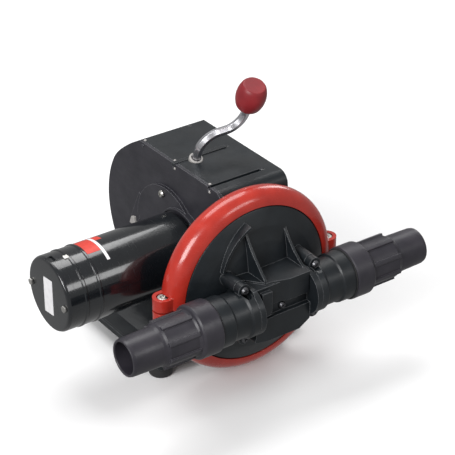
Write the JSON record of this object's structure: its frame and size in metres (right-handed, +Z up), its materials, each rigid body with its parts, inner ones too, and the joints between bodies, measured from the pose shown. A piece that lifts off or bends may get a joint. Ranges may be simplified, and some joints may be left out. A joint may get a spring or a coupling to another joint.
{
  "type": "diaphragm bilge pump",
  "caption": "Motor-driven diaphragm bilge pump with a ring-clamped pump head, two in-line hose ports, a gear case on rubber feet and a plug-in hand crank.",
  "frame": {"origin": "middle of the bounding box at floor level, under the rubber feet, with the crank in its socket", "axes": "+X along the line of the two ports towards the outlet, +Y from the pump head back to the gear case, +Z up"},
  "size_m": [0.3476, 0.295, 0.2771],
  "materials": {
    "black_plastic": "lightly grained black glass-filled nylon",
    "charcoal_plastic": "satin charcoal nylon",
    "black_enamel": "gloss black enamel on drawn steel",
    "red_plastic": "glossy red-orange nylon",
    "crimson_plastic": "satin crimson plastic",
    "rubber": "moulded black rubber",
    "plated_steel": "zinc plated steel",
    "bright_steel": "bright drawn steel",
    "nylon": "natural nylon",
    "pale_plastic": "pale grey acetal",
    "brass": "turned brass",
    "copper": null,
    "magnet": null
  },
  "bodies": {
    "pump": {"base_plate": "black_plastic", "foot_front_left": "rubber", "foot_front_right": "rubber", "foot_rear_left": "rubber", "foot_rear_right": "rubber", "foot_sleeve_front_left": "plated_steel", "foot_sleeve_front_right": "plated_steel", "foot_sleeve_rear_left": "plated_steel", "foot_sleeve_rear_right": "plated_steel", "gear_case": "black_plastic", "gear_case_cover": "charcoal_plastic", "crank_bush": "pale_plastic", "cable_gland": "rubber", "boss_screw": "plated_steel", "case_screw_1": "plated_steel", "case_screw_2": "plated_steel", "main_bearing_left": "plated_steel", "main_bearing_right": "plated_steel", "motor_can": "black_enamel", "motor_end_cap": "black_enamel", "motor_bolt_front": "plated_steel", "motor_bolt_rear": "plated_steel", "motor_magnet_top": "magnet", "motor_magnet_bottom": "magnet", "diaphragm": "rubber", "pump_body": "black_plastic", "pump_cover": "black_plastic", "cover_screw": "plated_steel", "clamp_ring_upper": "red_plastic", "clamp_ring_lower": "red_plastic", "clamp_screw_left": "plated_steel", "clamp_screw_right": "plated_steel", "port_body_inlet": "black_plastic", "port_seal_inlet": "rubber", "hose_adapter_inlet": "charcoal_plastic", "port_screw_inlet_top": "plated_steel", "port_screw_inlet_bottom": "plated_steel", "port_body_outlet": "black_plastic", "port_seal_outlet": "rubber", "hose_adapter_outlet": "charcoal_plastic", "port_screw_outlet_top": "plated_steel", "port_screw_outlet_bottom": "plated_steel"},
    "wheel": {"main_shaft": "bright_steel", "drive_gear": "nylon", "crown_gear": "nylon"},
    "motor_rotor": {"motor_shaft": "bright_steel", "armature_core": "bright_steel", "armature_winding": "copper", "commutator": "copper", "motor_pinion": "brass"},
    "socket": {"crank_socket": "bright_steel"},
    "crank": {"crank_rod": "bright_steel"},
    "knob": {"crank_knob": "crimson_plastic"},
    "rod": {"connecting_rod": "nylon"},
    "diaphragm_hub": {"diaphragm_plate_front": "nylon", "diaphragm_plate_rear": "nylon", "diaphragm_screw": "plated_steel", "clevis_pin": "bright_steel"},
    "inlet_flap": {"flap_inlet": "rubber"},
    "outlet_flap": {"flap_outlet": "rubber"}
  },
  "joints": [
    {"name": "wheel_turn", "type": "hinge", "parent": "pump", "child": "wheel", "pos_m": [0.0028, 0.0555, 0.104], "axis": [1, 0, 0], "continuous": true},
    {"name": "motor_turn", "type": "hinge", "parent": "pump", "child": "motor_rotor", "pos_m": [-0.0872, 0.0053, 0.1082], "axis": [1, 0, 0], "continuous": true},
    {"name": "crank_turn", "type": "hinge", "parent": "pump", "child": "socket", "pos_m": [0.0059, 0.03283, 0.15585], "axis": [0, -0.4007, 0.9162], "continuous": true},
    {"name": "crank_pull", "type": "slide", "parent": "socket", "child": "crank", "axis": [0, -0.4007, 0.9162], "range_m": [0, 0.06]},
    {"name": "knob_spin", "type": "hinge", "parent": "crank", "child": "knob", "pos_m": [0.0509, -0.01265, 0.25984], "axis": [0, -0.4007, 0.9162], "continuous": true},
    {"name": "rod_swing", "type": "hinge", "parent": "wheel", "child": "rod", "pos_m": [0.0028, 0.0515, 0.104], "axis": [1, 0, 0], "continuous": true},
    {"name": "diaphragm_stroke", "type": "slide", "parent": "pump", "child": "diaphragm_hub", "axis": [0, 1, 0], "range_m": [0, 0.008], "deforming": ["diaphragm"]},
    {"name": "inlet_flap_swing", "type": "hinge", "parent": "pump", "child": "inlet_flap", "pos_m": [-0.0922, -0.1209, 0.1202], "axis": [0, -1, 0], "range_deg": [0, 50]},
    {"name": "outlet_flap_swing", "type": "hinge", "parent": "pump", "child": "outlet_flap", "pos_m": [0.1048, -0.1209, 0.1202], "axis": [0, -1, 0], "range_deg": [0, 50]}
  ],
  "couplings": [
    {"joint": "motor_turn", "follows": "wheel_turn", "ratio": -4},
    {"joint": "crank_turn", "follows": "wheel_turn", "ratio": -4},
    {"joint": "rod_swing", "follows": "wheel_turn", "ratio": -1}
  ]
}
